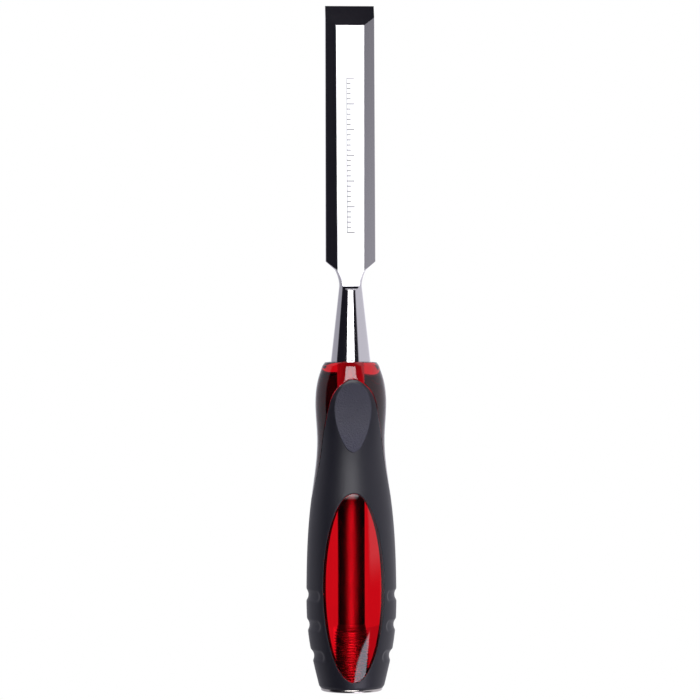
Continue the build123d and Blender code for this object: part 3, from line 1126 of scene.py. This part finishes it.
class StudioWorld:
    """The studio as a world shader: soft boxes and walls that depend on direction alone.

    A direction is its turn from the camera's side, to the right, and its rise, in degrees.
    """

    def __init__(self):
        world = bpy.data.worlds.new("studio")
        world.use_nodes = True
        bpy.context.scene.world = world
        self.make = TreeMaker(world.node_tree)
        self.out = world.node_tree.nodes["Background"]
        ways = self.make.node("ShaderNodeTexCoord").outputs["Generated"]
        ways = self.make.node("ShaderNodeSeparateXYZ", {"Vector": ways}).outputs
        flipped = self.make.math("MULTIPLY", ways["Y"], -1.0)
        turn = self.make.math("ARCTAN2", ways["X"], flipped)
        turn = self.make.math("SUBTRACT", self.degrees(turn), CAMERA_TURN)
        past = self.make.math("GREATER_THAN", turn, 180.0)
        self.turn = self.make.math("SUBTRACT", turn, self.make.math("MULTIPLY", past, 360.0))
        self.rise = self.degrees(self.make.math("ARCSINE", ways["Z"]))
        self.total = None

    def degrees(self, value):
        """An angle in radians turned into degrees."""
        return self.make.math("MULTIPLY", value, 180 / math.pi)

    def over(self, value, edge, soft):
        """One where the value is past the edge and zero before it, with a soft change."""
        return self.make.node(
            "ShaderNodeMapRange",
            {"Value": value, "From Min": edge - soft, "From Max": edge + soft},
            interpolation_type="SMOOTHSTEP",
        ).outputs[0]

    def band(self, value, low, high, soft):
        """One where the value is between two edges."""
        above = self.over(value, low, soft)
        below = self.make.math("SUBTRACT", 1.0, self.over(value, high, soft))
        return self.make.math("MULTIPLY", above, below)

    def add(self, mask, colour):
        """Adds light of a colour where the mask is one."""
        lit = self.make.node(
            "ShaderNodeVectorMath", {0: colour, "Scale": mask}, operation="SCALE"
        ).outputs[0]
        if self.total is None:
            self.total = lit
        else:
            self.total = self.make.node(
                "ShaderNodeVectorMath", {0: self.total, 1: lit}, operation="ADD"
            ).outputs[0]


def build_studio():
    """Soft boxes in front, pale walls at the sides and behind, and darkness between them."""
    studio = StudioWorld()
    make, turn, rise = studio.make, studio.turn, studio.rise
    studio.add(1.0, (0.014, 0.013, 0.02))
    # main soft box, in front and above
    box = make.math("MULTIPLY", studio.band(turn, -22, 22, 1.5), studio.band(rise, 12.7, 42, 0.7))
    studio.add(box, (8.0, 7.9, 8.2))
    # low soft box, in front on the right, that climbs to the right
    line = make.math("SUBTRACT", rise, make.math("MULTIPLY", turn, 0.47))
    low_box = studio.band(line, -70, -38.5, 1.5)
    low_box = make.math("MULTIPLY", low_box, studio.band(turn, 9, 49, 2.0))
    studio.add(low_box, (4.8, 4.6, 5.4))
    # walls: right round to the back, left behind, and the bright backdrop
    full_height = make.math("MAXIMUM", studio.over(rise, -1.5, 2.0), studio.over(turn, 82, 6.0))
    right = make.math("MULTIPLY", studio.over(turn, 48.5, 4.0), full_height)
    studio.add(right, (0.8, 0.78, 0.87))
    left = make.math("SUBTRACT", 1.0, studio.over(turn, -90, 3.0))
    studio.add(left, (0.5, 0.49, 0.56))
    behind_left = make.math("SUBTRACT", 1.0, studio.over(turn, -150, 8.0))
    backdrop = make.math("ADD", studio.over(turn, 150, 8.0), behind_left)
    studio.add(backdrop, (0.25, 0.25, 0.25))
    seen = make.node("ShaderNodeLightPath").outputs["Is Camera Ray"]
    final = make.node("ShaderNodeMix", data_type="VECTOR")
    make.feed(final.inputs[0], seen)
    make.feed(final.inputs[4], studio.total)
    make.feed(final.inputs[5], (1.0, 1.0, 1.0))
    make.feed(studio.out.inputs["Color"], final.outputs[1])


def build_floor():
    """A wide pale floor under the striking face."""
    mesh = bpy.data.meshes.new("floor")
    half = 6.0
    corners = [(-half, -half, 0), (half, -half, 0), (half, half, 0), (-half, half, 0)]
    mesh.from_pydata(corners, [], [(0, 1, 2, 3)])
    floor = bpy.data.objects.new("floor", mesh)
    bpy.context.scene.collection.objects.link(floor)
    material = bpy.data.materials.new("pale_floor")
    material.use_nodes = True
    shader = material.node_tree.nodes["Principled BSDF"]
    shader.inputs["Base Color"].default_value = (0.0, 0.0, 0.0, 1)
    shader.inputs["Specular IOR Level"].default_value = 0.0
    shader.inputs["Emission Color"].default_value = (1, 1, 1, 1)
    shader.inputs["Emission Strength"].default_value = 1.0
    mesh.materials.append(material)
    # the steel doesn't mirror the floor, and the floor throws no light on the object
    floor.visible_glossy = False
    floor.visible_diffuse = False


def build_camera():
    """The camera, level and a little to the left of the front."""
    data = bpy.data.cameras.new("camera")
    data.lens = CAMERA_LENS
    camera = bpy.data.objects.new("camera", data)
    bpy.context.scene.collection.objects.link(camera)
    turn = math.radians(CAMERA_TURN)
    camera.matrix_world = (
        Matrix.Translation(
            (CAMERA_DISTANCE * math.sin(turn), -CAMERA_DISTANCE * math.cos(turn), CAMERA_HEIGHT)
        )
        @ Matrix.Rotation(turn, 4, "Z")
        @ Matrix.Rotation(math.pi / 2, 4, "X")
        @ Matrix.Rotation(CAMERA_ROLL, 4, "Z")
        @ Matrix.Translation((CAMERA_SIDE, 0, 0))
    )
    bpy.context.scene.camera = camera


# ---------------------------------------------------------------- operators
class CHISEL_OT_stage(bpy.types.Operator):
    """Set up the floor, the studio light and the camera"""

    bl_idname = "chisel.stage"
    bl_label = "Stage"

    def execute(self, context):
        context.scene.view_settings.view_transform = "Standard"
        build_studio()
        build_floor()
        build_camera()
        return {"FINISHED"}


class CHISEL_OT_blade(bpy.types.Operator):
    """Make the blade with its neck, bolster and tang"""

    bl_idname = "chisel.blade"
    bl_label = "Blade"

    def execute(self, context):
        material = blade_steel(context.scene.chisel_colours)
        mesh = blade_mesh(context.scene.chisel_steel)
        keep_in_box(mesh, "blade")
        add_piece("blade_forged", mesh, "blade", material)
        return {"FINISHED"}


class CHISEL_OT_core(bpy.types.Operator):
    """Make the clear core of the handle"""

    bl_idname = "chisel.core"
    bl_label = "Clear core"

    def execute(self, context):
        material = clear_red_plastic(context.scene.chisel_colours)
        mesh = core_mesh(context.scene.chisel_handle)
        add_piece("clear_core", mesh, "handle_core", material)
        return {"FINISHED"}


class CHISEL_OT_grip(bpy.types.Operator):
    """Make the soft grip around the core"""

    bl_idname = "chisel.grip"
    bl_label = "Soft grip"

    def execute(self, context):
        material = black_grip(context.scene.chisel_colours)
        mesh = soft_grip_mesh(context.scene.chisel_handle)
        add_piece("soft_grip_moulded", mesh, "soft_grip", material)
        return {"FINISHED"}


class CHISEL_OT_cap(bpy.types.Operator):
    """Make the striking cap"""

    bl_idname = "chisel.cap"
    bl_label = "Striking cap"

    def execute(self, context):
        material = cap_steel(context.scene.chisel_colours)
        mesh = cap_mesh(context.scene.chisel_steel)
        add_piece("striking_cap_turned", mesh, "striking_cap", material)
        return {"FINISHED"}


class CHISEL_OT_stud(bpy.types.Operator):
    """Make the threaded stud that joins the cap to the tang"""

    bl_idname = "chisel.stud"
    bl_label = "Threaded stud"

    def execute(self, context):
        material = stud_steel(context.scene.chisel_colours)
        mesh = stud_mesh(context.scene.chisel_steel, material)
        add_piece("stud_threaded", mesh, "cap_stud", material)
        return {"FINISHED"}


class CHISEL_PT_sidebar(bpy.types.Panel):
    """Sizes, colours and steps of the bench chisel"""

    bl_idname = "CHISEL_PT_sidebar"
    bl_label = "Bench chisel"
    bl_space_type = "VIEW_3D"
    bl_region_type = "UI"
    bl_category = "Chisel"

    def draw(self, context):
        for name, group in SETTINGS:
            column = self.layout.column(align=True)
            for key in group.__annotations__:
                column.prop(getattr(context.scene, name), key)
        column = self.layout.column(align=True)
        for operator in STEPS:
            column.operator(operator.bl_idname)


SETTINGS = (
    ("chisel_handle", HandleSizes),
    ("chisel_steel", SteelSizes),
    ("chisel_colours", Colours),
)
STEPS = (
    CHISEL_OT_stage,
    CHISEL_OT_blade,
    CHISEL_OT_core,
    CHISEL_OT_grip,
    CHISEL_OT_cap,
    CHISEL_OT_stud,
)


def register():
    for name, group in SETTINGS:
        bpy.utils.register_class(group)
        setattr(bpy.types.Scene, name, bpy.props.PointerProperty(type=group))
    for operator in STEPS:
        bpy.utils.register_class(operator)
    bpy.utils.register_class(CHISEL_PT_sidebar)


def unregister():
    bpy.utils.unregister_class(CHISEL_PT_sidebar)
    for operator in reversed(STEPS):
        bpy.utils.unregister_class(operator)
    for name, group in reversed(SETTINGS):
        delattr(bpy.types.Scene, name)
        bpy.utils.unregister_class(group)


def main():
    register()
    bpy.ops.chisel.stage()
    bpy.ops.chisel.blade()
    bpy.ops.chisel.core()
    bpy.ops.chisel.grip()
    bpy.ops.chisel.cap()
    bpy.ops.chisel.stud()


if __name__ == "__main__":
    main()
